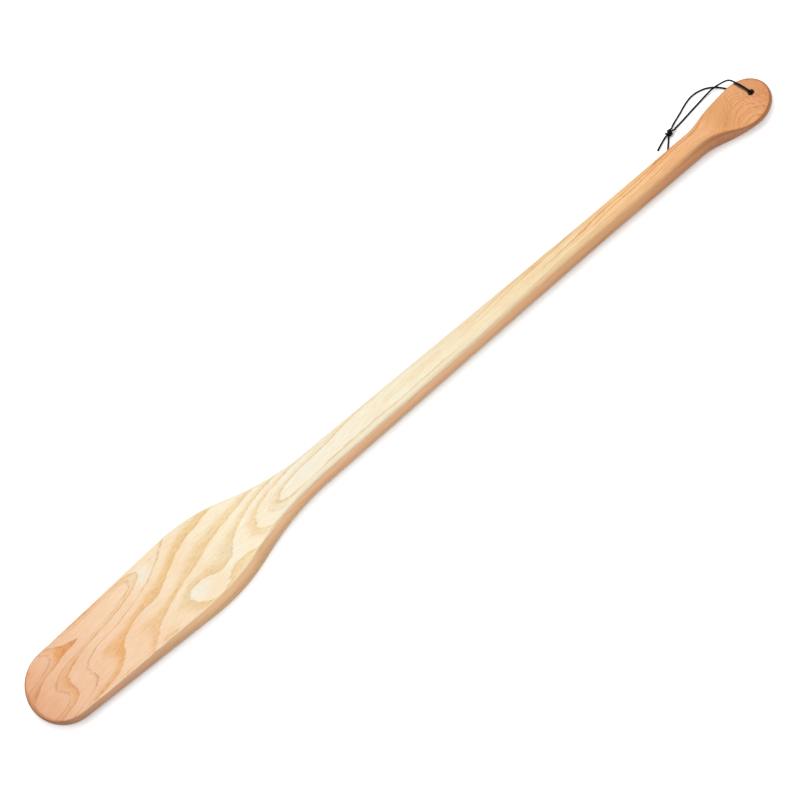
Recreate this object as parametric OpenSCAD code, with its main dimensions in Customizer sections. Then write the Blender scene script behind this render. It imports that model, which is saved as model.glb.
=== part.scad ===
// Wooden stirring paddle, shaped from one board, with a knotted hanging cord through its grip.
// It lies on its back: X runs from the tip of the blade to the end of the grip, Z is up,
// and the origin is on the surface below the middle of its length.

/* [Board] */
// Length of the paddle from the tip of the blade to the end of the grip
paddle_l = 914; // [860:1:980]
// Thickness of the board that it is cut from, which stays whole along the shaft
board_t = 25.4; // [22:0.1:30]
// Share of the thinning of the blade and the grip that is cut from the face, the rest from the back
face_share = 0.65; // [0.4:0.05:0.8]

/* [Blade] */
// Length of the rounded end of the blade
tip_round_l = 38; // [28:1:50]
// Width of the blade where its rounded end meets its straight edges
blade_tip_w = 82.4; // [70:0.1:90]
// Width that the straight edges reach at the shoulder, before it is rounded off
blade_shoulder_w = 93.5; // [86:0.5:104]
// Distance from the tip to the shoulder
blade_l = 228; // [200:1:250]
// Length over which the shoulder is rounded off
shoulder_round_l = 72; // [40:1:80]
// Thickness of the wood at the tip of the blade
tip_t = 9.5; // [8:0.1:14]
// Length over which both faces of the blade slope down to the tip
blade_taper_l = 236; // [200:1:250]
// Roundover along the edges of the blade
blade_edge_r = 2.2; // [1:0.1:3]
// How far the longer bevel of the tip reaches back over the face
nose_bevel_l = 8; // [5:0.5:12]
// How deep the bevel of the tip cuts into each face
nose_bevel_d = 3.9; // [2:0.1:4.5]

/* [Shaft] */
// Distance from the tip of the blade to the narrow end of the neck
neck_x = 310; // [290:1:330]
// Length over which the neck curves into the shaft
neck_round_l = 90; // [60:1:110]
// Width of the shaft at the neck
shaft_neck_w = 33.8; // [30:0.1:40]
// Distance from the tip of the blade to where the shaft stops narrowing
shaft_even_x = 700; // [640:5:740]
// Length over which the narrowing dies out
shaft_even_round_l = 60; // [20:5:100]
// Width of the shaft where it meets the grip
shaft_grip_w = 23.4; // [21:0.1:28]
// Roundover of the shaft's corners beside the neck
shaft_neck_r = 6.5; // [4:0.1:8]
// Roundover of the shaft's corners beside the grip
shaft_grip_r = 9; // [6:0.1:10]

/* [Grip] */
// Distance from the widest place of the grip pad to its end
pad_round_l = 28; // [24:1:34]
// Width of the grip pad
pad_w = 50; // [42:0.1:60]
// Length over which the shaft widens into the pad
pad_flare_l = 60; // [50:1:80]
// Thickness of the grip pad
pad_t = 8.5; // [7:0.1:12]
// Roundover along the edge of the grip pad
pad_edge_r = 3; // [1.5:0.1:3.4]
// Distance from the end of the grip to where its two faces start to dip
scoop_start_l = 66; // [60:1:80]
// Distance from the end of the grip to where the dip levels out
scoop_end_l = 42; // [36:1:50]
// Length over which each end of the dip is rounded
scoop_round_l = 22; // [10:1:24]

/* [Hanging hole] */
// Diameter of the hole through the grip pad
hole_d = 6; // [5:0.1:8]
// Distance from the middle of the hole to the end of the grip
hole_end_l = 16; // [13:0.5:24]
// Distance of the hole from the middle line of the pad
hole_off = 3; // [0:0.1:4]

/* [Hanging cord] */
// Diameter of the cord
cord_d = 1.6; // [1.2:0.1:2]
// Clearance between the cord and the face that it crosses
cord_clear = 0.25; // [0.2:0.05:0.5]
// Diameter of the knot
knot_d = 5.4; // [4.4:0.1:6.5]
// Length of the knot along the cord
knot_l = 6.6; // [5:0.1:8]
// Number of turns of cord that show round the knot
knot_turns = 4; // [3:1:5]

/* [Hidden] */

// Slopes of the outline and of the thickness
blade_slope = (blade_shoulder_w - blade_tip_w) / 2 / (blade_l - tip_round_l);
shoulder_slope = (shaft_neck_w - blade_shoulder_w) / 2 / (neck_x - blade_l);
shaft_slope = (shaft_grip_w - shaft_neck_w) / 2 / (shaft_even_x - neck_x);
taper_slope = (board_t - tip_t) / blade_taper_l;
scoop_slope = (board_t - pad_t) / (scoop_start_l - scoop_end_l);
taper_round_l = 30;

// Where the grip's forms lie along the paddle
pad_x = paddle_l - pad_round_l;
flare_x = pad_x - pad_flare_l;
scoop_start_x = paddle_l - scoop_start_l;
scoop_end_x = paddle_l - scoop_end_l;

// The rounded ends stop this many degrees short of the middle line
end_gap_a = 4;
// Steps round each end, round each corner, and the rise that a slope is measured over
end_steps = 14;
corner_steps = 6;
slope_step = 0.01;
// The tip's bevel narrows towards the edges with this power of the outline's direction
bevel_power = 7;

// Middle and faces of the hanging hole
hole_x = paddle_l / 2 - hole_end_l;
hole_top_z = board_t - face_share * (board_t - pad_t);
hole_bottom_z = hole_top_z - pad_t;
hole_mid_z = hole_top_z - pad_t / 2;
hole_past = 1;
hole_fn = 48;

// The cord's radius, and the height of its middle on the surface below and over the face of the pad
cord_r = cord_d / 2;
low_z = cord_r + 0.05;
over_z = hole_top_z + cord_r + cord_clear;
cord_sides = 8;
ring_gap = 4;

// Routes of the cord from the middle of the hole, along X and Y, with the height above the surface.
// They are drawn for a pad of this width, and reach across in proportion to the real one.
drawn_pad_w = 50;
front_route = [
    [0, 0, hole_mid_z], [0, 0, over_z - 3.4], [-0.2, 0.9, over_z - 1], [-0.6, 3, over_z], [-1.6, 8, over_z],
    [-3.2, 14, over_z], [-4.9, 19.4, over_z], [-6.3, 23.5, over_z - 0.4], [-8.4, 27.4, over_z - 2.3],
    [-12, 31.2, over_z * 0.63], [-16, 34.3, over_z * 0.41], [-21, 36.5, over_z * 0.26],
    [-26, 37.5, over_z * 0.17], [-32.5, 37.6, over_z * 0.1], [-42, 36.6, low_z], [-50, 35.5, low_z],
    [-66, 33.1, low_z], [-74, 31.9, 1.4], [-80.4, 31, 2.3]];
back_route = [
    [0, 0, hole_mid_z], [0, 0, hole_bottom_z - 0.5], [-0.5, 0.9, 3.4], [-1.3, 2.7, 1.5], [-2.6, 5.4, low_z],
    [-5.2, 10.8, low_z], [-7.8, 16.2, low_z], [-10.4, 21.6, low_z], [-13, 27, low_z], [-16, 32.2, low_z],
    [-19.6, 36.9, low_z], [-24, 41, low_z], [-28.4, 43.9, low_z], [-33.6, 46, low_z], [-39, 47.2, low_z],
    [-45, 47.2, low_z], [-50.4, 45.9, low_z], [-56, 43.9, low_z], [-62, 41.3, low_z], [-68, 38.5, low_z],
    [-74, 35.6, 1.4], [-80.4, 32.8, 2.3]];
long_tail_route = [
    [-84.8, 32.4, 2.2], [-88.6, 31.2, 1.3], [-92.8, 29.7, low_z], [-97, 27.9, low_z], [-101.2, 25.9, low_z]];
short_tail_route = [
    [-83.6, 30.8, 2.2], [-86.1, 28.2, 1.3], [-89, 25, low_z], [-91.7, 21.9, low_z], [-94.4, 18.8, low_z]];
// The knot lies between the legs and the tails, turned this far from the X axis
knot_at = [-82.4, 32];
knot_turn_a = 14;
knot_neck = 0.45;

// A straight run that turns to a new slope round x = at, over the length span
function turn(x, at, span, change) =
    let (u = x - at + span / 2)
    u <= 0 ? 0 : u >= span ? change * (x - at) : change * u * u / (2 * span);
// Goes smoothly from 0 to 1 between two places
function ease(x, from, to) =
    let (u = max(0, min(1, (x - from) / (to - from))))
    u * u * (3 - 2 * u);

// Half of the width of the blade, neck and shaft, without the rounded end, at a distance from the tip
function run_half_w(x) =
    blade_tip_w / 2 + blade_slope * (x - tip_round_l)
    + turn(x, blade_l, shoulder_round_l, shoulder_slope - blade_slope)
    + turn(x, neck_x, neck_round_l, shaft_slope - shoulder_slope)
    + turn(x, shaft_even_x, shaft_even_round_l, -shaft_slope);
// The same, with the flare of the grip pad
function half_w(x) =
    run_half_w(x) + (pad_w / 2 - run_half_w(x)) * ease(x, flare_x, pad_x);
// Thickness of the wood at a distance from the tip
function thick(x) =
    tip_t + taper_slope * x
    - turn(x, blade_taper_l, taper_round_l, taper_slope)
    - turn(x, scoop_start_x, scoop_round_l, scoop_slope)
    + turn(x, scoop_end_x, scoop_round_l, scoop_slope);
// Heights of the face and of the back at a distance from the tip
function face_z(x) = board_t - face_share * (board_t - thick(x));
function back_z(x) = face_z(x) - thick(x);
// Roundover of the edge at a distance from the tip
function edge_r(x) =
    blade_edge_r
    + (shaft_neck_r - blade_edge_r) * ease(x, blade_l, neck_x + neck_round_l / 3)
    + (shaft_grip_r - shaft_neck_r) * ease(x, neck_x + neck_round_l / 3, shaft_even_x)
    + (pad_edge_r - shaft_grip_r) * ease(x, flare_x, scoop_end_x);

// Outline points as [distance from the tip, half width, outward direction along and across]
function end_point(at, length, half, a, way) =
    let (reach = length / cos(end_gap_a), d = [-half * cos(a), reach * sin(a)], n = norm(d))
    [at + way * (length - reach * cos(a)), half * sin(a), way * d.x / n, d.y / n];
function run_point(x) =
    let (rise = (half_w(x + slope_step) - half_w(x - slope_step)) / (2 * slope_step), n = norm([rise, 1]))
    [x, half_w(x), -rise / n, 1 / n];
function evenly(from, to, count) = [for (i = [1:count]) from + (to - from) * i / count];
end_angles = [for (i = [0:end_steps]) end_gap_a + (90 - end_gap_a) * i / end_steps];
run_stations = concat(
    evenly(tip_round_l, blade_l - shoulder_round_l / 2, 4),
    evenly(blade_l - shoulder_round_l / 2, blade_l + shoulder_round_l / 2, 9),
    evenly(blade_l + shoulder_round_l / 2, neck_x + neck_round_l / 2, 10),
    evenly(neck_x + neck_round_l / 2, shaft_even_x, 6),
    evenly(shaft_even_x, flare_x, 3),
    evenly(flare_x, pad_x - pad_flare_l / 12, 16));
outline = concat(
    [for (a = end_angles) end_point(0, tip_round_l, half_w(tip_round_l), a, 1)],
    [for (x = run_stations) run_point(x)],
    [for (i = [end_steps:-1:0]) end_point(paddle_l, pad_round_l, pad_w / 2, end_angles[i], -1)]);

// One ring of points round the wood: over the far edge from the top face, and back under the near edge
corner_angles = concat(
    [for (i = [corner_steps:-1:0]) 90 * i / corner_steps],
    [for (i = [0:corner_steps]) -90 * i / corner_steps]);
function edge_point(p, a) =
    let (r = edge_r(p.x), bevel = p.z < 0 ? pow(-p.z, bevel_power) : 0,
        back = (r + (nose_bevel_l - r) * bevel) * (1 - cos(a)),
        down = (r + (nose_bevel_d - r) * bevel) * (1 - sin(abs(a))),
        x = p.x - p.z * back)
    [x - paddle_l / 2, p.y - p[3] * back, a < 0 ? back_z(x) + down : face_z(x) - down];
function ring(p) =
    let (far = [for (a = corner_angles) edge_point(p, a)], last = len(far) - 1)
    concat(far, [for (i = [last:-1:0]) [far[i].x, -far[i].y, far[i].z]]);
ring_n = 2 * len(corner_angles);

// The board, lofted through the rings and closed at each end from edge to edge
module shaped_board() {
    last = len(outline) - 1;
    side_faces = [for (i = [0:last - 1], j = [0:ring_n - 1])
        let (a = i * ring_n + j, b = i * ring_n + (j + 1) % ring_n)
        each [[a, a + ring_n, b + ring_n], [a, b + ring_n, b]]];
    tip_faces = [for (j = [0:ring_n / 2 - 2])
        let (a = j, b = j + 1, c = ring_n - 2 - j, d = ring_n - 1 - j)
        each [[a, b, c], [a, c, d]]];
    end_faces = [for (f = tip_faces) [f[2] + last * ring_n, f[1] + last * ring_n, f[0] + last * ring_n]];
    polyhedron(points = [for (p = outline) each ring(p)], faces = concat(side_faces, tip_faces, end_faces));
}

module hanging_hole() {
    translate([hole_x, hole_off, hole_bottom_z - hole_past])
        cylinder(h = pad_t + 2 * hole_past, d = hole_d, $fn = hole_fn);
}

// Blade, shaft and grip, all of one board
module paddle() {
    color("burlywood")
        difference() {
            shaped_board();
            hanging_hole();
        }
}

// Points along a route: each stretch is a smooth curve that passes through the route's points
function unit(v) = v / norm(v);
function heading(route, i) = unit(route[min(i + 1, len(route) - 1)] - route[max(i - 1, 0)]);
function along(route, i, t) =
    let (p = route[i], q = route[i + 1], l = norm(q - p), t2 = t * t, t3 = t2 * t)
    (2 * t3 - 3 * t2 + 1) * p + (t3 - 2 * t2 + t) * l * heading(route, i)
    + (3 * t2 - 2 * t3) * q + (t3 - t2) * l * heading(route, i + 1);
function cord_path(route) = concat(
    [for (i = [0:len(route) - 2])
        let (steps = max(1, round(norm(route[i + 1] - route[i]) / ring_gap)))
        for (k = [0:steps - 1]) along(route, i, k / steps)],
    [route[len(route) - 1]]);
// Sideways directions that are carried along the path without twisting
function carried(v, t) = unit(v - (v * t) * t);
function sideways(path) =
    let (last = len(path) - 1)
    [for (i = 0, s = carried([0, -1, 0.01], heading(path, 0)); i <= last;
        i = i + 1, s = carried(s, heading(path, min(i, last)))) s];

// A cord of even thickness, swept along its route
module cord(route) {
    path = cord_path([for (p = route) [p.x, p.y * pad_w / drawn_pad_w, p.z]]);
    last = len(path) - 1;
    side = sideways(path);
    points = [for (i = [0:last])
        let (t = heading(path, i), u = side[i], v = cross(t, u))
        for (k = [0:cord_sides - 1])
            let (a = 360 * k / cord_sides)
            path[i] + cord_r * (cos(a) * u + sin(a) * v)];
    wall = [for (i = [0:last - 1], k = [0:cord_sides - 1])
        let (a = i * cord_sides + k, b = i * cord_sides + (k + 1) % cord_sides)
        each [[a, b, b + cord_sides], [a, b + cord_sides, a + cord_sides]]];
    first_cap = [for (k = [cord_sides - 1:-1:0]) k];
    last_cap = [for (k = [0:cord_sides - 1]) last * cord_sides + k];
    translate([hole_x, hole_off, 0])
        color("black")
            polyhedron(points = points, faces = concat(wall, [first_cap, last_cap]));
}

module cord_front_leg() {
    cord(front_route);
}

module cord_back_leg() {
    cord(back_route);
}

module cord_long_tail() {
    cord(long_tail_route);
}

module cord_short_tail() {
    cord(short_tail_route);
}

// The knot: turns of cord side by side, drawn tight round the two strands inside them
module cord_knot() {
    turn_l = knot_l / knot_turns;
    core_r = knot_d / 2 - turn_l * knot_neck;
    turn_r = core_r - turn_l * (0.5 - knot_neck);
    translate([hole_x + knot_at.x, hole_off + knot_at.y * pad_w / drawn_pad_w, knot_d / 2])
        rotate([0, 0, knot_turn_a])
            rotate([0, 90, 0])
                color("black")
                    rotate_extrude($fn = 32)
                        union() {
                            translate([0, -knot_l / 2])
                                square([core_r, knot_l]);
                            for (i = [0:knot_turns - 1])
                                translate([turn_r, (i + 0.5) * turn_l - knot_l / 2])
                                    circle(d = turn_l, $fn = 16);
                        }
}

paddle();
cord_front_leg();
cord_back_leg();
cord_knot();
cord_long_tail();
cord_short_tail();
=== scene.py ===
import math
import bpy
from mathutils import Matrix, Vector


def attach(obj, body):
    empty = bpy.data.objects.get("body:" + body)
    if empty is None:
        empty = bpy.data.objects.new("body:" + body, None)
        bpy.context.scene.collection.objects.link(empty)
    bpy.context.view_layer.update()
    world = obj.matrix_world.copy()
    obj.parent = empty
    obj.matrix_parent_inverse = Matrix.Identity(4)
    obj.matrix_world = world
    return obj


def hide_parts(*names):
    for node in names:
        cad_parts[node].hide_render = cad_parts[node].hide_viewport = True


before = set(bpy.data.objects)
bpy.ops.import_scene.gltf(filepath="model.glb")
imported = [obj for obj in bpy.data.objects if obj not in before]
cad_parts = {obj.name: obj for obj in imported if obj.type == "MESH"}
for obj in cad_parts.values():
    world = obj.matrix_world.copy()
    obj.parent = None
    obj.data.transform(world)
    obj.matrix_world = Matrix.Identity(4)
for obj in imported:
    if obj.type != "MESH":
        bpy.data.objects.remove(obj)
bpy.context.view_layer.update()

# The view: the paddle lies on its back and is seen square to its length, from above its near edge.
# The picture is turned so that the blade is at the lower left and the grip at the upper right.
look_at = Vector((0.0, 0.0, 0.0127))
look_down = math.radians(59.3)
look_turn = math.radians(40.46)
look_from = 6.0
picture_px, px_per_m = 800, 1055.3
seen_at = (399.16, 397.02)
ahead = Vector((0, math.cos(look_down), -math.sin(look_down)))
level = Vector((1, 0, 0))
upward = level.cross(ahead)
picture_right = math.cos(look_turn) * level - math.sin(look_turn) * upward
picture_up = math.sin(look_turn) * level + math.cos(look_turn) * upward
# The middle of the picture is a little beside the paddle's own middle
beside, below = picture_px / 2 - seen_at[0], picture_px / 2 - seen_at[1]
look_at = look_at + (beside * picture_right - below * picture_up) / px_per_m
lens = bpy.data.cameras.new("view")
lens.sensor_width = 36
lens.lens = lens.sensor_width * px_per_m * look_from / picture_px
lens.clip_end = 50
view = bpy.data.objects.new("view", lens)
bpy.context.scene.collection.objects.link(view)
view.matrix_world = (Matrix.Translation(look_at - look_from * ahead)
                     @ Matrix([picture_right, picture_up, -ahead]).transposed().to_4x4())
bpy.context.scene.camera = view

# The paddle: one piece of pale ash, flat-sawn, bandsawn to its outline, thinned towards the tip and the grip on
# both faces, rounded over along its edges, drilled near the grip's end and sanded. Its measures are the drawing's,
# in metres.
paddle_l, board_t, face_share = 0.914, 0.0254, 0.65
tip_round_l, blade_tip_w, blade_shoulder_w, blade_l, shoulder_round_l = 0.038, 0.0824, 0.0935, 0.228, 0.072
tip_t, blade_taper_l, blade_edge_r, nose_bevel_l, nose_bevel_d = 0.0095, 0.236, 0.0022, 0.008, 0.0039
neck_x, neck_round_l, shaft_neck_w, shaft_even_x, shaft_even_round_l = 0.31, 0.09, 0.0338, 0.7, 0.06
shaft_grip_w, shaft_neck_r, shaft_grip_r = 0.0234, 0.0065, 0.009
pad_round_l, pad_w, pad_flare_l, pad_t, pad_edge_r = 0.028, 0.05, 0.06, 0.0085, 0.003
scoop_start_l, scoop_end_l, scoop_round_l, taper_round_l = 0.066, 0.042, 0.022, 0.03
blade_slope = (blade_shoulder_w - blade_tip_w) / 2 / (blade_l - tip_round_l)
shoulder_slope = (shaft_neck_w - blade_shoulder_w) / 2 / (neck_x - blade_l)
shaft_slope = (shaft_grip_w - shaft_neck_w) / 2 / (shaft_even_x - neck_x)
taper_slope = (board_t - tip_t) / blade_taper_l
scoop_slope = (board_t - pad_t) / (scoop_start_l - scoop_end_l)
pad_x, scoop_start_x, scoop_end_x = paddle_l - pad_round_l, paddle_l - scoop_start_l, paddle_l - scoop_end_l
flare_x = pad_x - pad_flare_l
# The middle of the hanging hole, and the heights of the pad's back and face round it
hole = Vector((0.441, 0.003, 0))
pad_back, pad_face = 0.0059, 0.0144


def turn(x, at, span, change):
    """What a line's height gains from a change of its slope at a place, rounded over a span."""
    u = x - at + span / 2
    return 0.0 if u <= 0 else change * (x - at) if u >= span else change * u * u / (2 * span)


def ease(x, start, end):
    """Goes smoothly from 0 to 1 while x goes from start to end."""
    u = max(0.0, min(1.0, (x - start) / (end - start)))
    return u * u * (3 - 2 * u)


def half_w(x):
    """Half the board's width at a distance from its tip."""
    run = (blade_tip_w / 2 + blade_slope * (x - tip_round_l)
           + turn(x, blade_l, shoulder_round_l, shoulder_slope - blade_slope)
           + turn(x, neck_x, neck_round_l, shaft_slope - shoulder_slope)
           + turn(x, shaft_even_x, shaft_even_round_l, -shaft_slope))
    return run + (pad_w / 2 - run) * ease(x, flare_x, pad_x)


def thickness(x):
    """The board's thickness at a distance from its tip."""
    return (tip_t + taper_slope * x - turn(x, blade_taper_l, taper_round_l, taper_slope)
            - turn(x, scoop_start_x, scoop_round_l, scoop_slope) + turn(x, scoop_end_x, scoop_round_l, scoop_slope))


def edge_round(x):
    """The radius of its edges at a distance from its tip."""
    neck_end_x = neck_x + neck_round_l / 3
    return (blade_edge_r + (shaft_neck_r - blade_edge_r) * ease(x, blade_l, neck_end_x)
            + (shaft_grip_r - shaft_neck_r) * ease(x, neck_end_x, shaft_even_x)
            + (pad_edge_r - shaft_grip_r) * ease(x, flare_x, scoop_end_x))


def end_curve(at, length, half, way, count):
    """Points of a rounded end from near the middle line outwards, with the direction that each one faces."""
    gap = math.radians(1.5)
    reach = length / math.cos(gap)
    points = []
    for i in range(count + 1):
        a = gap + (math.pi / 2 - gap) * i / count
        d = Vector((-half * math.cos(a), reach * math.sin(a))).normalized()
        points.append((at + way * (length - reach * math.cos(a)), half * math.sin(a), way * d.x, d.y))
    return points


def shaped_board():
    """The board lofted through rings that follow its outline, each going over its face, edges and back."""
    end_steps, stations, corner, flat_steps, near_x = 40, 420, 10, 6, 1e-5
    outline = end_curve(0, tip_round_l, half_w(tip_round_l), 1, end_steps)
    last_x = pad_x - pad_flare_l / end_steps
    for i in range(1, stations + 1):
        x = tip_round_l + (last_x - tip_round_l) * i / stations
        slope = (half_w(x + near_x) - half_w(x - near_x)) / (2 * near_x)
        steep = math.hypot(slope, 1)
        outline.append((x, half_w(x), -slope / steep, 1 / steep))
    outline += end_curve(paddle_l, pad_round_l, pad_w / 2, -1, end_steps)[::-1]
    angles = [math.radians(90 * i / corner) for i in range(corner, -1, -1)]
    verts, rings = [], []
    for x, y, nx, ny in outline:
        thin = board_t - thickness(x)
        face, back = board_t - face_share * thin, (1 - face_share) * thin
        r = edge_round(x)
        # The tip is bevelled, most where it faces straight ahead
        bevel = abs(nx) ** 5 if nx < 0 else 0.0
        over = []
        for a in angles:
            inward = (r + (nose_bevel_l - r) * bevel) * (1 - math.cos(a))
            down = (r + (nose_bevel_d - r) * bevel) * (1 - math.sin(a))
            over.append((x - nx * inward - paddle_l / 2, y - ny * inward, face - down, back + down))
        far = [(px, py, top) for px, py, top, bottom in over]
        far += [(px, py, bottom) for px, py, top, bottom in reversed(over)]
        # Across the face and the back, between the two edges
        face_row = [(far[0][0], far[0][1] * (1 - 2 * k / flat_steps), far[0][2]) for k in range(1, flat_steps)]
        back_row = [(far[-1][0], far[-1][1] * (1 - 2 * k / flat_steps), far[-1][2]) for k in range(1, flat_steps)]
        near = [(px, -py, pz) for px, py, pz in reversed(far)]
        ring = far + back_row + near + face_row[::-1]
        rings.append(len(ring))
        verts += ring
    n, far_n = rings[0], 2 * (corner + 1)
    faces = []
    for i in range(len(rings) - 1):
        for j in range(n):
            faces.append((i * n + j, (i + 1) * n + j, (i + 1) * n + (j + 1) % n, i * n + (j + 1) % n))
    # Each end is closed by strips from its far half to its near half
    across = [(j, j + 1, far_n * 2 + flat_steps - 3 - j, far_n * 2 + flat_steps - 2 - j) for j in range(1, far_n - 2)]
    across.append((0, 1) + tuple(range(n - flat_steps - 1, n)))
    across.append(tuple(range(far_n - 2, far_n + flat_steps + 1)))
    last = (len(rings) - 1) * n
    faces += across + [tuple(last + j for j in strip[::-1]) for strip in across]
    mesh = bpy.data.meshes.new("ash_paddle")
    mesh.from_pydata(verts, [], faces)
    mesh.validate()
    return mesh


def drilled_hole():
    """The drill's way through the pad, with both of its rims eased with sandpaper."""
    sides, rim_steps, r, ease_r, past_face = 64, 6, 0.003, 0.0005, 0.002
    profile = [(r + ease_r, pad_back - past_face), (r + ease_r, pad_back)]
    profile += [(r + ease_r * (1 - math.sin(a)), pad_back + ease_r * (1 - math.cos(a)))
                for a in (math.radians(90 * k / rim_steps) for k in range(1, rim_steps + 1))]
    profile += [(w, pad_back + pad_face - z) for w, z in reversed(profile)]
    verts = [(hole.x + w * math.cos(a), hole.y + w * math.sin(a), z)
             for w, z in profile for a in (2 * math.pi * k / sides for k in range(sides))]
    rows = len(profile)
    faces = [(i * sides + k, i * sides + (k + 1) % sides, (i + 1) * sides + (k + 1) % sides, (i + 1) * sides + k)
             for i in range(rows - 1) for k in range(sides)]
    faces.append(tuple(range(sides - 1, -1, -1)))
    faces.append(tuple((rows - 1) * sides + k for k in range(sides)))
    mesh = bpy.data.meshes.new("drill")
    mesh.from_pydata(verts, [], faces)
    return mesh


paddle = bpy.data.objects.new("ash_paddle", shaped_board())
bpy.context.scene.collection.objects.link(paddle)
drill = bpy.data.objects.new("drill", drilled_hole())
bpy.context.scene.collection.objects.link(drill)
cut = paddle.modifiers.new("hanging_hole", "BOOLEAN")
cut.operation, cut.solver, cut.object = "DIFFERENCE", "EXACT", drill
bpy.context.view_layer.update()
drilled = bpy.data.meshes.new_from_object(paddle.evaluated_get(bpy.context.evaluated_depsgraph_get()))
paddle.modifiers.clear()
paddle.data = drilled
drilled.name = "ash_paddle"
bpy.data.objects.remove(drill)
drilled.shade_smooth()
drilled.set_sharp_from_angle(angle=math.radians(35))

# The ash's growth rings, a solid field in the board: the layers that the tree laid round its trunk year by year rise
# and fall, so a flat saw cut shows them as nested figures. Each hill is a swelling of the trunk, in mm, as its middle
# x and y, its two half lengths, the turn of the first and the number of rings that it lifts.
trunk_swellings = [
    (-453.1, 26.6, 46.1, 38.0, 0.396, -2.365), (-366.3, 13.5, 88.1, 24.4, -0.313, -2.495),
    (-362.5, -29.0, 114.0, 25.5, -0.073, -3.738), (-328.8, 32.6, 44.5, 21.5, 0.149, -4.452),
    (-351.3, -32.0, 35.9, 15.8, 0.697, 1.605), (-197.8, 75.0, 130.0, 50.0, 0.368, -3.081),
    (-268.6, -27.0, 34.8, 18.4, -0.147, 2.409), (-93.9, 50.2, 116.8, 27.8, 0.388, -3.730),
    (-207.4, -36.1, 30.7, 7.9, 0.291, -0.746), (-149.2, 9.5, 55.7, 28.1, 0.143, 1.806),
    (-46.8, 2.1, 110.9, 13.1, 0.051, 1.057), (-348.2, 12.0, 130.0, 29.2, 0.854, 2.502),
    (-314.5, -35.9, 35.8, 26.9, -1.600, 2.731), (35.3, -0.1, 46.0, 6.0, 0.030, 0.60)
]
rings_at_middle, rings_per_100mm_along, rings_per_10mm_across, rings_per_mm_deep = 6.534, 0.424, -0.1311, 0.2
any_depth = 10000


def calc(tree, way, *terms):
    """A Math node on numbers and sockets."""
    node = tree.nodes.new("ShaderNodeMath")
    node.operation = way
    for socket, term in zip(node.inputs, terms):
        if isinstance(term, (int, float)):
            socket.default_value = term
        else:
            tree.links.new(term, socket)
    return node.outputs[0]


growth = bpy.data.node_groups.new("growth_rings", "ShaderNodeTree")
growth.interface.new_socket(name="Place in mm", in_out="INPUT", socket_type="NodeSocketVector")
growth.interface.new_socket(name="Ring", in_out="OUTPUT", socket_type="NodeSocketFloat")
place_in, ring_out = growth.nodes.new("NodeGroupInput"), growth.nodes.new("NodeGroupOutput")
xyz = growth.nodes.new("ShaderNodeSeparateXYZ")
growth.links.new(place_in.outputs[0], xyz.inputs[0])
ring = calc(growth, "MULTIPLY_ADD", xyz.outputs[0], rings_per_100mm_along / 100, rings_at_middle)
ring = calc(growth, "MULTIPLY_ADD", xyz.outputs[1], rings_per_10mm_across / 10, ring)
below_face = calc(growth, "SUBTRACT", xyz.outputs[2], board_t * 1000)
ring = calc(growth, "MULTIPLY_ADD", below_face, rings_per_mm_deep, ring)
for x, y, half_along, half_across, turned, lift in trunk_swellings:
    hill = growth.nodes.new("ShaderNodeMapping")
    hill.vector_type = "TEXTURE"
    hill.inputs["Location"].default_value = (x, y, 0)
    hill.inputs["Rotation"].default_value = (0, 0, turned)
    hill.inputs["Scale"].default_value = (half_along, half_across, any_depth)
    growth.links.new(place_in.outputs[0], hill.inputs["Vector"])
    off = growth.nodes.new("ShaderNodeVectorMath")
    off.operation = "DOT_PRODUCT"
    growth.links.new(hill.outputs[0], off.inputs[0])
    growth.links.new(hill.outputs[0], off.inputs[1])
    height = calc(growth, "POWER", math.exp(-1), off.outputs["Value"])
    ring = calc(growth, "MULTIPLY_ADD", height, lift, ring)
growth.links.new(ring, ring_out.inputs[0])

# The wood's look: sanded ash under a thin coat of oil. Its rings, pores, fibres and stains are laid over one another
# in the board's own space, in mm from its middle, so they run on over its edges and down its sides. Along it the tip
# is at -457, the shoulder at -229, the neck at -147 and the grip's end at 457.
ash = bpy.data.materials.new("oiled_ash")
ash.use_nodes = True
t = ash.node_tree
wood = t.nodes["Principled BSDF"]
wood.inputs["Specular IOR Level"].default_value = 0.4
where = t.nodes.new("ShaderNodeTexCoord")


def times(tree, product, *terms):
    """The product of numbers and sockets."""
    for term in terms:
        product = calc(tree, "MULTIPLY", product, term)
    return product


def rise(tree, value, start, end, low=0.0, high=1.0):
    """Goes smoothly from low to high while the value goes from start to end."""
    node = tree.nodes.new("ShaderNodeMapRange")
    node.interpolation_type = "SMOOTHSTEP"
    node.clamp = True
    tree.links.new(value, node.inputs["Value"])
    for name, number in (("From Min", start), ("From Max", end), ("To Min", low), ("To Max", high)):
        node.inputs[name].default_value = number
    return node.outputs["Result"]


def blend_colour(tree, share, under, over, way="MIX"):
    """Lays one colour over another by a share from 0 to 1."""
    node = tree.nodes.new("ShaderNodeMix")
    node.data_type, node.blend_type = "RGBA", way
    for name, term in (("Factor_Float", share), ("A_Color", under), ("B_Color", over)):
        socket = next(i for i in node.inputs if i.identifier == name)
        if isinstance(term, (int, float, tuple)):
            socket.default_value = term
        else:
            tree.links.new(term, socket)
    return next(o for o in node.outputs if o.identifier == "Result_Color")


def relief(tree, height, depth):
    """A Bump node whose full height stands for a depth in metres, linked to the material's normal."""
    node = tree.nodes.new("ShaderNodeBump")
    node.inputs["Distance"].default_value = depth
    tree.links.new(height, node.inputs["Height"])
    tree.links.new(node.outputs["Normal"], tree.nodes["Principled BSDF"].inputs["Normal"])


def scaled(tree, vector, amount):
    """The vector multiplied by three numbers."""
    node = tree.nodes.new("ShaderNodeVectorMath")
    node.operation = "MULTIPLY"
    tree.links.new(vector, node.inputs[0])
    node.inputs[1].default_value = amount
    return node.outputs[0]


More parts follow.
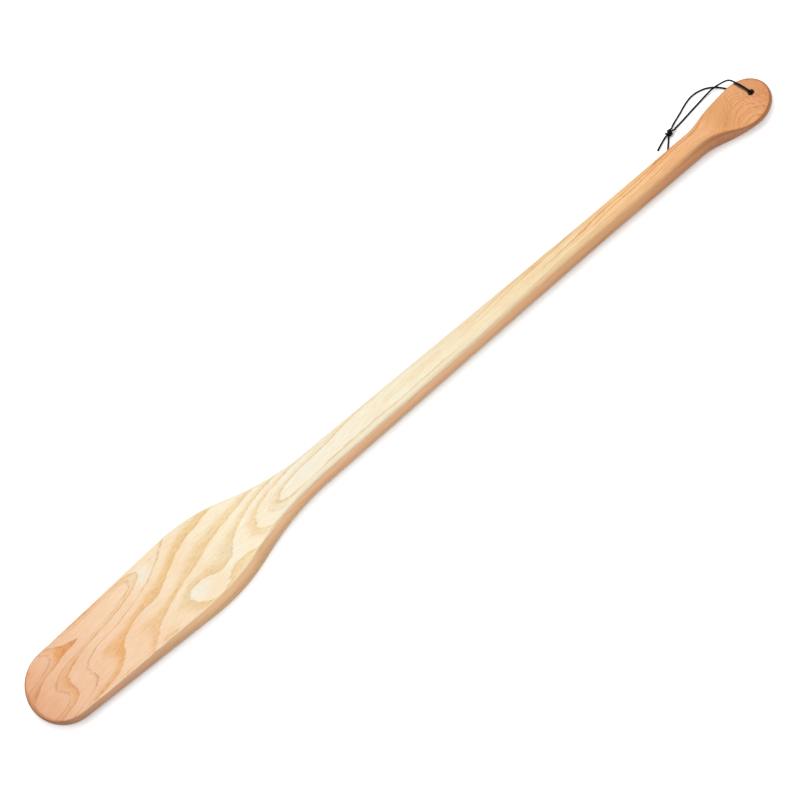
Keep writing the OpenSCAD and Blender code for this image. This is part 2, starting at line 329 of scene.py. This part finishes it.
def moved(tree, vector, by):
    """The vector with another added to it, or three numbers."""
    node = tree.nodes.new("ShaderNodeVectorMath")
    node.operation = "ADD"
    tree.links.new(vector, node.inputs[0])
    if isinstance(by, tuple):
        node.inputs[1].default_value = by
    else:
        tree.links.new(by, node.inputs[1])
    return node.outputs[0]


def noise(tree, vector, detail=2.0, roughness=0.5):
    """A Noise texture's outputs at a vector, whose numbers are in the noise's own grain."""
    node = tree.nodes.new("ShaderNodeTexNoise")
    node.inputs["Scale"].default_value = 1.0
    node.inputs["Detail"].default_value = detail
    node.inputs["Roughness"].default_value = roughness
    tree.links.new(vector, node.inputs["Vector"])
    return node.outputs


def fields(tree, vector):
    """The three numbers of a vector."""
    node = tree.nodes.new("ShaderNodeSeparateXYZ")
    tree.links.new(vector, node.inputs[0])
    return node.outputs


def colour_by(tree, value, stops, smooth="LINEAR"):
    """A colour ramp from (position, linear colour) pairs."""
    node = tree.nodes.new("ShaderNodeValToRGB")
    node.color_ramp.interpolation = smooth
    marks = node.color_ramp.elements
    while len(marks) < len(stops):
        marks.new(1.0)
    for mark, (at, colour) in zip(marks, stops):
        mark.position, mark.color = at, (*colour, 1)
    tree.links.new(value, node.inputs[0])
    return node.outputs[0]


def tinted(tree, colour, by):
    """The colour multiplied by another."""
    return blend_colour(tree, 1.0, colour, (*by, 1), "MULTIPLY")


def from_spot(tree, vector, x, y, half_along, half_across):
    """How far a place is from the middle of an oval spot, which is 1 at its rim."""
    spot = tree.nodes.new("ShaderNodeMapping")
    spot.vector_type = "TEXTURE"
    spot.inputs["Location"].default_value = (x, y, 0)
    spot.inputs["Scale"].default_value = (half_along, half_across, any_depth)
    tree.links.new(vector, spot.inputs["Vector"])
    off = tree.nodes.new("ShaderNodeVectorMath")
    off.operation = "LENGTH"
    tree.links.new(spot.outputs[0], off.inputs[0])
    return off.outputs["Value"]


place = scaled(t, where.outputs["Object"], (1000, 1000, 1000))
here = fields(t, place)
x_mm, y_mm, z_mm = here[0], here[1], here[2]
# What a place is scaled by before a texture is how fine that texture is per mm along, across and through the board.
# Fibres wander a little, so the rings' edges waver, and run out in short points where they are cut at a low angle
waver = moved(t, noise(t, scaled(t, place, (0.03, 0.07, 0.07)))["Color"], (-0.5, -0.5, -0.5))
waver = scaled(t, waver, (5.0, 2.6, 1.5))
points = noise(t, scaled(t, place, (0.03, 0.42, 0.42)), 4.0, 0.7)["Fac"]
run_out, point_l = t.nodes.new("ShaderNodeCombineXYZ"), 15.0
t.links.new(calc(t, "MULTIPLY_ADD", points, point_l, -point_l / 2), run_out.inputs[0])
grown_place = moved(t, moved(t, place, waver), run_out.outputs[0])
rings = t.nodes.new("ShaderNodeGroup")
rings.node_tree = growth
t.links.new(grown_place, rings.inputs[0])
grown = fields(t, grown_place)

# Nine years' rings, then they repeat: how far through the year its porous early wood starts, how dark that is, and
# how strong the thin line at its edge
years = [(0.62, 0.50, 0.80), (0.60, 0.62, 0.85), (0.93, 0.30, 0.85), (0.50, 1.00, 0.25), (0.50, 0.80, 0.30),
         (0.45, 0.80, 0.35), (0.50, 0.70, 0.20), (0.62, 0.55, 0.60), (0.50, 0.35, 0.10)]
first_year = -1
year = calc(t, "WRAP", calc(t, "SUBTRACT", rings.outputs[0], first_year), len(years), 0.0)
season = calc(t, "FRACT", year)
kinds = fields(t, colour_by(t, calc(t, "DIVIDE", year, len(years)),
                            [(i / len(years), kind) for i, kind in enumerate(years)], "CONSTANT"))
early_from, early_dark, line_dark = kinds[0], kinds[1], kinds[2]
early = calc(t, "DIVIDE", calc(t, "SUBTRACT", season, early_from), calc(t, "SUBTRACT", 1.0, early_from))
early = times(t, rise(t, early, -0.25, 0.5), rise(t, early, -0.5, 1.0, 0.45, 1.0))
# Orange stain where early wood comes out flat at the face: under the tip, at its far corner and on the far edge.
# Each is its middle, its two half lengths and its strength.
stain = 0.0
for *oval, strength in [(-413.0, -13.0, 10.0, 18.0, 0.7), (-398.0, 24.0, 15.0, 9.0, 1.0),
                        (-307.0, 33.0, 16.0, 13.0, 0.6), (-361.0, -15.0, 17.0, 18.0, 0.5)]:
    stain = calc(t, "MAXIMUM", stain, rise(t, from_spot(t, grown_place, *oval), 1.4, 0.6, 0.0, strength))
early_wood = times(t, early, calc(t, "MAXIMUM", early_dark, stain))
edge_line = times(t, rise(t, season, 0.84, 0.985), line_dark)
first_line = times(t, rise(t, calc(t, "ABSOLUTE", calc(t, "SUBTRACT", season, early_from)), 0.075, 0.0),
                  rise(t, line_dark, 0.5, 0.7, 0.0, 0.75))
blade_share = rise(t, x_mm, 45.0, 110.0, 1.0, 0.0)
faint = noise(t, scaled(t, place, (0.05, 0.12, 0.12)), 2.0)["Fac"]
blade_lines = times(t, calc(t, "MAXIMUM", edge_line, first_line), rise(t, faint, 0.35, 0.6, 0.35, 1.0))

# Along the shaft and over the grip the same layers are finer: they rise in an arch where the pad was cut down
arch_x, arch_l, arch_rise = 422.0, 24.0, 21.0
grain_slope, layer_slope, drift_w, fine_ring_w = -0.05, 0.7, 8.5, 3.1
arch = calc(t, "ABSOLUTE", calc(t, "DIVIDE", calc(t, "SUBTRACT", grown[0], arch_x), arch_l))
arch = calc(t, "POWER", math.exp(-1), calc(t, "POWER", arch, 2.0))
fine = calc(t, "MULTIPLY_ADD", grown[0], grain_slope, grown[1])
fine = calc(t, "MULTIPLY_ADD", arch, -arch_rise, fine)
fine = calc(t, "MULTIPLY_ADD", z_mm, layer_slope, fine)
drift = noise(t, scaled(t, place, (0.012, 0.11, 0.11)), 2.0)["Fac"]
fine = calc(t, "MULTIPLY_ADD", drift, drift_w, fine)
fine_ring = calc(t, "DIVIDE", fine, fine_ring_w)
fine_season = calc(t, "FRACT", fine_ring)
each = t.nodes.new("ShaderNodeTexWhiteNoise")
each.noise_dimensions = "1D"
t.links.new(calc(t, "FLOOR", fine_ring), each.inputs["W"])
fine_early = times(t, rise(t, fine_season, 0.30, 0.86), rise(t, fine_season, 1.0, 0.92),
                  calc(t, "MULTIPLY_ADD", each.outputs["Value"], 1.0, 0.15))
fine_share = rise(t, x_mm, 40.0, 200.0)
tan = calc(t, "MAXIMUM", times(t, early_wood, blade_share), times(t, fine_early, fine_share))
lines = times(t, blade_lines, blade_share)

# The board is pinkish at the tip, palest at the neck and browned by oil and hands towards the grip. Its pale middle
# and darker ends are partly painted light, a painted highlight that falls off towards both ends.
along = calc(t, "DIVIDE", calc(t, "ADD", x_mm, paddle_l * 1000 / 2), paddle_l * 1000)
ground = colour_by(t, along, [
    (0.0, (0.83, 0.45, 0.26)), (0.06, (0.90, 0.58, 0.375)), (0.12, (0.94, 0.67, 0.45)),
    (0.20, (0.945, 0.775, 0.545)), (0.28, (0.945, 0.86, 0.655)), (0.38, (0.895, 0.845, 0.69)),
    (0.5, (0.885, 0.82, 0.63)), (0.60, (0.86, 0.735, 0.50)), (0.71, (0.87, 0.67, 0.40)),
    (0.81, (0.89, 0.58, 0.29)), (0.88, (0.85, 0.475, 0.215)), (0.94, (0.83, 0.425, 0.18)),
    (0.97, (0.78, 0.375, 0.155)), (1.0, (0.70, 0.29, 0.105))], "EASE")
# The palest patches of the face, each as its middle and its two half lengths
for oval in [(-264.0, -26.0, 21.0, 11.0), (-297.0, 32.0, 13.0, 12.0), (-216.0, -16.0, 16.0, 12.0)]:
    pale = rise(t, from_spot(t, moved(t, place, waver), *oval), 1.4, 0.3, 0.0, 0.75)
    ground = blend_colour(t, pale, ground, (0.92, 0.90, 0.78, 1))
mottle = noise(t, scaled(t, place, (0.035, 0.06, 0.06)), 3.0, 0.55)["Fac"]
ground = blend_colour(t, rise(t, mottle, 0.35, 0.7, 0.0, 0.45), ground, tinted(t, ground, (1.0, 0.90, 0.80)))
# Early wood is tan on the blade, orange where it is stained, and browner in the fine rings of the shaft
tan_wood = tinted(t, ground, (0.945, 0.785, 0.535))
fine_wood = tinted(t, ground, (0.84, 0.64, 0.42))
orange_wood = tinted(t, ground, (0.97, 0.68, 0.33))
early_colour = blend_colour(t, fine_share, blend_colour(t, stain, tan_wood, orange_wood), fine_wood)
colour = blend_colour(t, tan, ground, early_colour)
colour = blend_colour(t, times(t, lines, 0.75), colour, tinted(t, ground, (0.72, 0.50, 0.34)))

# Open pores: short dark dashes along the grain, thick in the early wood. Fibres: a fine silky streak all over.
pores = noise(t, scaled(t, place, (0.22, 2.6, 2.6)), 1.0)["Fac"]
pore = times(t, rise(t, pores, 0.60, 0.70), calc(t, "MULTIPLY_ADD", tan, 0.75, 0.18))
fibres = noise(t, scaled(t, place, (0.07, 0.9, 0.9)), 5.0, 0.7)["Fac"]
colour = blend_colour(t, rise(t, fibres, 0.38, 0.62, 0.0, 0.5), colour, tinted(t, colour, (0.90, 0.80, 0.68)))
colour = blend_colour(t, times(t, pore, 0.55), colour, tinted(t, colour, (0.50, 0.36, 0.26)))
# A few dark flecks, longer than wide
fleck_cells = t.nodes.new("ShaderNodeTexVoronoi")
fleck_cells.inputs["Scale"].default_value = 1.0
t.links.new(scaled(t, place, (0.05, 0.13, 0.13)), fleck_cells.inputs["Vector"])
chosen = rise(t, fields(t, fleck_cells.outputs["Color"])[0], 0.86, 0.90)
fleck = times(t, rise(t, fleck_cells.outputs["Distance"], 0.09, 0.03), chosen)
colour = blend_colour(t, times(t, fleck, 0.55), colour, (0.30, 0.16, 0.08, 1))
# A painted highlight: a paler stripe along the shaft, near its near edge, where its rounding turns towards the light.
crown_y = -5.0
off_crown = calc(t, "ABSOLUTE", calc(t, "SUBTRACT", grown[1], crown_y))
highlight_stripe = times(t, rise(t, off_crown, 4.5, 1.5), rise(t, x_mm, 0.0, 90.0), rise(t, x_mm, 300.0, 150.0), 0.4)
colour = blend_colour(t, highlight_stripe, colour, (0.91, 0.80, 0.53, 1))

# Sawn sides take the oil more deeply than the faces, and end grain the most
facing = fields(t, where.outputs["Normal"])
turned_up = calc(t, "ABSOLUTE", facing[2])
side = rise(t, turned_up, 0.86, 0.25)
# Up to the middle of the shaft the side colour starts further down its corners, which keep the face's paler colour:
# part of the painted highlight on the near corners.
before_mid_shaft = rise(t, x_mm, 200.0, 60.0)
side_under_lit_corner = rise(t, turned_up, 0.70, 0.0)
side = calc(t, "MULTIPLY_ADD", before_mid_shaft, calc(t, "SUBTRACT", side_under_lit_corner, side), side)
at_grip = rise(t, x_mm, 330.0, 405.0)
at_tip = rise(t, x_mm, -390.0, -430.0)
# Along the board the sides too are palest in the middle and darker towards the ends, partly painted falloff of the
# light.
side_wood = colour_by(t, along, [
    (0.0, (0.54, 0.29, 0.165)), (0.11, (0.72, 0.38, 0.21)), (0.22, (0.95, 0.59, 0.29)), (0.30, (0.95, 0.55, 0.265)),
    (0.40, (0.93, 0.505, 0.25)), (0.5, (0.89, 0.475, 0.235)), (0.80, (0.70, 0.34, 0.15)), (0.89, (0.57, 0.24, 0.095)),
    (0.93, (0.44, 0.16, 0.05)), (1.0, (0.40, 0.14, 0.045))], "EASE")
side_wood = blend_colour(t, times(t, fine_early, 0.8), side_wood, tinted(t, side_wood, (0.82, 0.73, 0.66)))
# Painted shade: their lower half is darker, turned away from the light above.
side_wood = blend_colour(t, rise(t, z_mm, 17.0, 7.0), side_wood, tinted(t, side_wood, (0.76, 0.70, 0.67)))
colour = blend_colour(t, times(t, side, 0.85), colour, side_wood)
turned_along = calc(t, "ABSOLUTE", facing[0])
end_grain = times(t, rise(t, turned_along, 0.22, 0.6), rise(t, turned_up, 0.88, 0.75))
end_pores = noise(t, scaled(t, place, (0.5, 2.2, 2.2)), 2.0)["Fac"]
end_wood = blend_colour(t, rise(t, end_pores, 0.42, 0.62), (0.50, 0.25, 0.13, 1), (0.30, 0.14, 0.075, 1))
colour = blend_colour(t, times(t, end_grain, 0.85), colour, end_wood)
# The bevel round the tip cuts the fibres short, and is darker
nose = times(t, rise(t, turned_up, 0.999, 0.93), at_tip)
colour = blend_colour(t, times(t, nose, 0.8), colour, tinted(t, colour, (0.82, 0.74, 0.68)))
# The arrises are darker brown, more so on the grip: partly polished by hands, partly painted shade where the rounding
# turns away from the light.
arris = rise(t, times(t, turned_up, calc(t, "SUBTRACT", 1.0, turned_up)), 0.12, 0.24)
handled_and_edge_shade = calc(t, "MAXIMUM", times(t, at_grip, 0.85), times(t, at_tip, 0.5))
colour = blend_colour(t, times(t, arris, handled_and_edge_shade), colour, (0.36, 0.13, 0.045, 1))
# Between the tip and the middle of the shaft the upper corner of the edge is pale instead: a painted highlight where
# the rounding turns towards the light.
upper_corner = times(t, rise(t, turned_up, 0.62, 0.82), rise(t, turned_up, 0.99, 0.9))
painted_arris_highlight = times(t, upper_corner, before_mid_shaft, 0.65, rise(t, x_mm, -432.0, -395.0))
colour = blend_colour(t, painted_arris_highlight, colour, (0.96, 0.84, 0.62, 1))
# Painted shade: the hole's wall is darkened almost to black, as the deep narrow bore is in shade.
from_hole = moved(t, place, (-hole.x * 1000, -hole.y * 1000, 0.0))
off_axis = t.nodes.new("ShaderNodeVectorMath")
off_axis.operation = "LENGTH"
t.links.new(scaled(t, from_hole, (1.0, 1.0, 0.0)), off_axis.inputs[0])
hole_shade = rise(t, off_axis.outputs["Value"], 3.9, 3.05)
colour = blend_colour(t, times(t, hole_shade, 0.85), colour, (0.12, 0.045, 0.02, 1))
# Painted shadow of the black cord on the face of the pad: a dark line from the hole to the far edge, a little beside
# the cord.
cord_leaves_face, shadow_aside = (-0.0049, 0.0194), 0.45
leg_way = Vector((*cord_leaves_face, 0)).normalized()
across_leg = fields(t, scaled(t, from_hole, (leg_way.y, -leg_way.x, 0.0)))
off_line = calc(t, "ABSOLUTE", calc(t, "ADD", calc(t, "ADD", across_leg[0], across_leg[1]), shadow_aside))
painted_cord_shadow = times(t, rise(t, off_line, 2.5, 1.1), rise(t, y_mm, 1.0, 4.0), rise(t, facing[2], 0.2, 0.6),
                   rise(t, fibres, 0.2, 0.55, 0.7, 0.95))
colour = blend_colour(t, painted_cord_shadow, colour, (0.045, 0.014, 0.008, 1))
t.links.new(colour, wood.inputs["Base Color"])
gloss = rise(t, fibres, 0.3, 0.7, 0.40, 0.52)
gloss = calc(t, "MULTIPLY_ADD", tan, 0.07, gloss)
gloss = calc(t, "MULTIPLY_ADD", arris, -0.08, gloss)
t.links.new(calc(t, "MULTIPLY_ADD", end_grain, 0.12, gloss), wood.inputs["Roughness"])
surface_height = calc(t, "MULTIPLY_ADD", pore, -1.0, times(t, fibres, 0.35))
surface_height = calc(t, "MULTIPLY_ADD", tan, -0.25, surface_height)
pore_depth = 0.00012
relief(t, surface_height, pore_depth)
drilled.materials.clear()
drilled.materials.append(ash)
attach(paddle, "board")
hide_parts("paddle")

# The hanging cord: a thin black braided cord, put through the hole in the grip and tied to itself with one
# overhand knot that holds both strands. It lies on the pad, over its far edge and loosely on the surface.
cord_d = 0.00172
on_surface = 0.0009
over_face = pad_face + 0.0011
# Each leg's way from inside the hole to just before the knot, and each tail's way on from it, as places from the
# hole's middle in metres. Heights are above the surface that the paddle lies on.
front_way = [
    (0, 0, 0.0102), (0, 0, over_face - 0.0034), (-0.0002, 0.0009, over_face - 0.001), (-0.0006, 0.003, over_face),
    (-0.0016, 0.008, over_face), (-0.0032, 0.014, over_face), (*cord_leaves_face, over_face),
    (-0.0063, 0.0235, over_face - 0.0004), (-0.0084, 0.0274, over_face - 0.0023), (-0.012, 0.0312, 0.0097),
    (-0.016, 0.0343, 0.0063), (-0.021, 0.0365, 0.004), (-0.026, 0.0375, 0.0026), (-0.0325, 0.0376, 0.0015),
    (-0.042, 0.0366, on_surface), (-0.05, 0.0355, on_surface), (-0.066, 0.0331, on_surface),
    (-0.074, 0.0319, 0.0014)]
back_way = [
    (0, 0, 0.0102), (0, 0, pad_back - 0.0005), (-0.0005, 0.0009, 0.0034), (-0.0013, 0.0027, 0.0015),
    (-0.0026, 0.0054, on_surface), (-0.0052, 0.0108, on_surface), (-0.0078, 0.0162, on_surface),
    (-0.0104, 0.0216, on_surface), (-0.013, 0.027, on_surface), (-0.016, 0.0322, on_surface),
    (-0.0196, 0.0369, on_surface), (-0.024, 0.041, on_surface), (-0.0284, 0.0439, on_surface),
    (-0.0336, 0.046, on_surface), (-0.039, 0.0472, on_surface), (-0.045, 0.0472, on_surface),
    (-0.0504, 0.0459, on_surface), (-0.056, 0.0439, on_surface), (-0.062, 0.0413, on_surface),
    (-0.0684, 0.0389, on_surface), (-0.0745, 0.0362, 0.0014)]
# A singed end is thicker than the cord, so its middle lies higher
singed_end = 0.00098
long_tail_way = [(-0.0886, 0.0312, 0.0013), (-0.0928, 0.0297, on_surface), (-0.097, 0.0279, on_surface),
                 (-0.1012, 0.0259, singed_end)]
short_tail_way = [(-0.0861, 0.0282, 0.0013), (-0.089, 0.025, on_surface), (-0.0917, 0.0219, on_surface),
                  (-0.0944, 0.0188, singed_end)]
knot_at = Vector((-0.0819, 0.0311, 0.0033))
knot_turn = math.radians(14)


def through_knot(side):
    """One strand's way through the overhand knot, from the legs' side: through the middle, round the outside in a
    turn, and through the middle again to the tails. side is -1 or 1 for the two strands side by side."""
    # How far off the knot's axis the strand runs inside and outside, in metres, at which angles round the axis it
    # leaves the middle and comes back to it, and where it crosses the top
    core, wrap = 0.0011, 0.0025
    into, out_of = (135, -495) if side < 0 else (45, -405)
    top_at, top, pitch = 0.0005 + 0.0009 * side, -270, 0.0031

    def at(along, r, degrees):
        return along, r * math.cos(math.radians(degrees)), r * math.sin(math.radians(degrees))

    first, last = into - 90, out_of + 90
    starts, ends = (top_at + pitch * (top - degrees) / 360 for degrees in (first, last))
    local = [(0.0048, 0.0017 * side, -0.001), (0.0027, 0.0011 * side, 0.0004),
             at(min(-0.0002, starts + 0.0015), core, into),
             at(starts + 0.0003, core + 0.0001, into - 8), at(starts - 0.0006, core + 0.0005, into - 34),
             at(starts - 0.0005, wrap - 0.0003, into - 64)]
    degrees_apart = 22
    steps = round((first - last) / degrees_apart)
    for i in range(steps + 1):
        degrees = first + (last - first) * i / steps
        local.append(at(top_at + pitch * (top - degrees) / 360, wrap, degrees))
    local += [at(ends + 0.0005, wrap - 0.0003, out_of + 64), at(ends + 0.0006, core + 0.0005, out_of + 34),
              at(ends - 0.0003, core + 0.0001, out_of + 8), at(min(0.0002, ends - 0.0014), core, out_of),
              at(-0.0018, core, out_of), at(-0.0029, core * 0.95, out_of)]
    c, s = math.cos(knot_turn), math.sin(knot_turn)
    return [(knot_at.x + a * c - b * s, knot_at.y + a * s + b * c, knot_at.z + h) for a, b, h in local]


def smooth_line(points, step):
    """Points a step apart on the curve that goes smoothly through all the points given."""
    p = [Vector(q) for q in points]
    heading = [(p[min(i + 1, len(p) - 1)] - p[max(i - 1, 0)]).normalized() for i in range(len(p))]
    line = []
    for i in range(len(p) - 1):
        span = (p[i + 1] - p[i]).length
        for k in range(max(1, round(span / step))):
            t = k / max(1, round(span / step))
            line.append((2 * t**3 - 3 * t**2 + 1) * p[i] + (t**3 - 2 * t**2 + t) * span * heading[i]
                        + (3 * t**2 - 2 * t**3) * p[i + 1] + (t**3 - t**2) * span * heading[i + 1])
    return line + [p[-1]]


def opened_bends(line, least):
    """The line with each bend tighter than the least radius opened to it, since a strand can't fold on itself."""
    reach, most_rounds = 4, 300
    for _ in range(most_rounds):
        tight = set()
        for i in range(1, len(line) - 1):
            a, b = line[i] - line[i - 1], line[i + 1] - line[i]
            if a.length * b.length * (a + b).length < 2 * least * a.cross(b).length:
                tight.update(range(max(1, i - reach), min(len(line) - 1, i + reach + 1)))
        if not tight:
            break
        line = [(line[i - 1] + 2 * p + line[i + 1]) / 4 if i in tight else p for i, p in enumerate(line)]
    return line


def braided_strand(name, line):
    """A round strand along the line, with a U coordinate in diameters along it for its braid, and a singed end."""
    sides, r = 16, cord_d / 2
    places = [(p, r) for p in line]
    # The cut end was singed with a flame: it is slightly swollen and domed
    tip_way = (line[-1] - line[-2]).normalized()
    dome = [(0.15, 1.08), (0.4, 1.12), (0.7, 1.0), (0.95, 0.7), (1.08, 0.3)]
    places += [(line[-1] + tip_way * r * beyond, r * wide) for beyond, wide in dome]
    verts, uv_u, run = [], [], 0.0
    side = Vector((0, -1, 0.01))
    for i, (p, width) in enumerate(places):
        before, after = places[max(i - 1, 0)][0], places[min(i + 1, len(places) - 1)][0]
        way = (after - before).normalized()
        side = (side - side.dot(way) * way).normalized()
        other = way.cross(side)
        run += (p - before).length
        uv_u.append(run / cord_d)
        verts += [p + width * (math.cos(a) * side + math.sin(a) * other)
                  for a in (2 * math.pi * k / sides for k in range(sides))]
    n = len(places)
    faces = [(i * sides + k, i * sides + (k + 1) % sides, (i + 1) * sides + (k + 1) % sides, (i + 1) * sides + k)
             for i in range(n - 1) for k in range(sides)]
    faces.append(tuple(range(sides - 1, -1, -1)))
    faces.append(tuple((n - 1) * sides + k for k in range(sides)))
    mesh = bpy.data.meshes.new(name)
    mesh.from_pydata(verts, [], faces)
    singed = mesh.attributes.new("singed", "FLOAT", "POINT")
    for v in range(len(verts)):
        singed.data[v].value = 1.0 if v >= (len(line) - 1) * sides else 0.0
    uv = mesh.uv_layers.new(name="along_strand")
    for f in mesh.polygons:
        for c in f.loop_indices:
            i, k = divmod(mesh.loops[c].vertex_index, sides)
            v = k / sides
            # The last face round closes the ring, so its far corners are at 1 and not at 0
            if k == 0 and f.index < (n - 1) * sides and f.index % sides == sides - 1:
                v = 1.0
            uv.data[c].uv = (uv_u[i], v)
    mesh.shade_smooth()
    strand = bpy.data.objects.new(name, mesh)
    bpy.context.scene.collection.objects.link(strand)
    return strand


def strand_through(name, leg, side, tail):
    """The whole strand from the middle of the hole to its cut end, and the line that it follows."""
    points = [hole + Vector(p) for p in leg + through_knot(side) + tail]
    point_step, least_bend = 0.0004, 0.0011
    line = opened_bends(smooth_line(points, point_step), least_bend)
    return braided_strand(name, line), line


front_strand, front_line = strand_through("cord_front", front_way, -1, short_tail_way)
back_strand, back_line = strand_through("cord_back", back_way, 1, long_tail_way)
black_cord = bpy.data.materials.new("black_braided_cord")
black_cord.use_nodes = True
t = black_cord.node_tree
yarn = t.nodes["Principled BSDF"]
yarn.inputs["Specular IOR Level"].default_value = 0.06
yarn.inputs["Sheen Weight"].default_value = 0.015
yarn.inputs["Sheen Roughness"].default_value = 0.4
along_strand = t.nodes.new("ShaderNodeUVMap")
along_strand.uv_map = "along_strand"
parts = t.nodes.new("ShaderNodeSeparateXYZ")
t.links.new(along_strand.outputs[0], parts.inputs[0])
# Four yarns wind each way round the strand, and each passes over and under the ones it meets
yarns_each_way, turns_per_d = 4, 0.85
around = times(t, parts.outputs[1], yarns_each_way)
onward = times(t, parts.outputs[0], turns_per_d)
right_hand, left_hand = calc(t, "ADD", around, onward), calc(t, "SUBTRACT", around, onward)
crowns = [calc(t, "SINE", times(t, calc(t, "FRACT", hand), math.pi)) for hand in (right_hand, left_hand)]
met = calc(t, "ADD", calc(t, "FLOOR", right_hand), calc(t, "FLOOR", left_hand))
right_over = calc(t, "FLOORED_MODULO", met, 2.0)
over = times(t, crowns[0], right_over)
under = times(t, crowns[1], calc(t, "SUBTRACT", 1.0, right_over))
braid = calc(t, "ADD", over, under)
hairs = t.nodes.new("ShaderNodeTexNoise")
hairs.inputs["Scale"].default_value = 5200
hairs.inputs["Detail"].default_value = 3
where = t.nodes.new("ShaderNodeTexCoord")
t.links.new(where.outputs["Object"], hairs.inputs["Vector"])
end = t.nodes.new("ShaderNodeAttribute")
end.attribute_name = "singed"
woven = calc(t, "SUBTRACT", 1.0, end.outputs["Fac"])
crown = times(t, braid, woven)
black = blend_colour(t, crown, (0.002, 0.002, 0.002, 1), (0.012, 0.011, 0.012, 1))
stray_hairs = times(t, rise(t, hairs.outputs[0], 0.52, 0.75), 0.5)
black = blend_colour(t, stray_hairs, black, (0.028, 0.027, 0.028, 1))
t.links.new(black, yarn.inputs["Base Color"])
# The melted ends are glossy, the yarns dull
dullness = calc(t, "MULTIPLY_ADD", woven, 0.3, rise(t, hairs.outputs[0], 0.3, 0.7, 0.24, 0.34))
t.links.new(dullness, yarn.inputs["Roughness"])
yarn_depth = 0.00022
relief(t, calc(t, "ADD", crown, times(t, hairs.outputs[0], 0.3)), yarn_depth)
for strand, line, mouth, nodes in [
        (front_strand, front_line, pad_face, ("cord_front_leg", "cord_knot", "cord_short_tail")),
        (back_strand, back_line, pad_back, ("cord_back_leg", "cord_long_tail"))]:
    strand.data.materials.append(black_cord)
    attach(strand, "cord_loop")
    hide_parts(*nodes)

# The surroundings: a seamless white sheet under the paddle, a white room round it, and broad soft light from above
# and from the front. They show the part and don't belong to it.
sheet_half_w, sheet_below = 8, 0.0002
sheet_mesh = bpy.data.meshes.new("white_sheet")
sheet_mesh.from_pydata([(sheet_half_w * x, sheet_half_w * y, 0) for x, y in ((-1, -1), (1, -1), (1, 1), (-1, 1))],
                       [], [(0, 1, 2, 3)])
white_sheet = bpy.data.objects.new("white_sheet", sheet_mesh)
white_sheet.location.z = -sheet_below
bpy.context.scene.collection.objects.link(white_sheet)
white = bpy.data.materials.new("white_sheet")
white.use_nodes = True
t = white.node_tree
surface = t.nodes["Principled BSDF"]
surface.inputs["Roughness"].default_value = 0.9
surface.inputs["Specular IOR Level"].default_value = 0.0
glow = t.nodes.new("ShaderNodeEmission")
ray = t.nodes.new("ShaderNodeLightPath")
seen = calc(t, "MAXIMUM", ray.outputs["Is Camera Ray"], ray.outputs["Is Glossy Ray"])
# The glow stands for blown-out white paper. It dies out under the wood and below the hole, a painted shadow where no
# light reaches the sheet.
openness = t.nodes.new("ShaderNodeAmbientOcclusion")
openness.samples = 4
openness.inputs["Distance"].default_value = 0.03
glow_outside_shade = rise(t, openness.outputs["AO"], 0.12, 0.38, 0.0, 0.55)
t.links.new(times(t, seen, glow_outside_shade), glow.inputs["Strength"])
# Painted shade: the sheet's own colour goes to black under the wood and below the hole.
t.links.new(rise(t, openness.outputs["AO"], 0.10, 0.35, 0.0, 0.8), surface.inputs["Base Color"])
both = t.nodes.new("ShaderNodeAddShader")
t.links.new(surface.outputs[0], both.inputs[0])
t.links.new(glow.outputs[0], both.inputs[1])
t.links.new(both.outputs[0], t.nodes["Material Output"].inputs["Surface"])
sheet_mesh.materials.append(white)

room = bpy.data.worlds.new("studio")
room.use_nodes = True
room.node_tree.nodes["Background"].inputs["Color"].default_value = (1.0, 1.0, 1.0, 1)
room.node_tree.nodes["Background"].inputs["Strength"].default_value = 0.43
bpy.context.scene.world = room
for name, stands_at, size, power in [("softbox_above", (0.3, 0.8, 2.2), 1.6, 32),
                                     ("softbox_front", (0.1, -1.8, 1.6), 1.2, 15)]:
    lamp = bpy.data.lights.new(name, "AREA")
    lamp.size, lamp.energy = size, power
    softbox = bpy.data.objects.new(name, lamp)
    softbox.location = stands_at
    softbox.rotation_euler = (-Vector(stands_at)).to_track_quat("-Z", "Y").to_euler()
    bpy.context.scene.collection.objects.link(softbox)

bpy.context.scene.view_settings.view_transform = "Standard"
